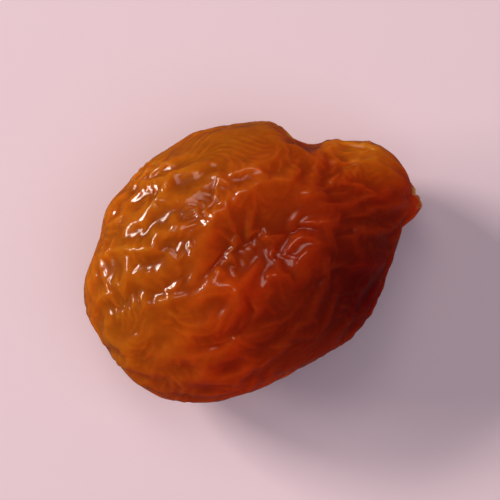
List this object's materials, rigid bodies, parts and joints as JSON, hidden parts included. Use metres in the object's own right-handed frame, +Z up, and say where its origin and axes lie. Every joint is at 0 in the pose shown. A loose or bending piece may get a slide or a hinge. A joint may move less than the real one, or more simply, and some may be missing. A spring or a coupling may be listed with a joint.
{
  "type": "raisin",
  "caption": "A large seedless amber raisin: a plump, slightly flattened egg shape with finely wrinkled skin, narrowing past a notch to a blunt stem end.",
  "frame": {"origin": "on the surface that the raisin rests on, under the middle of its bounding box", "axes": "+X along the raisin towards its stem end, +Y across it to the side with the notch, +Z up through its flattest direction"},
  "size_m": [0.0162, 0.012, 0.0086],
  "materials": {
    "skin": "thin translucent amber skin with a moist sheen"
  },
  "bodies": {
    "root": {"raisin": "skin"}
  },
  "joints": []
}
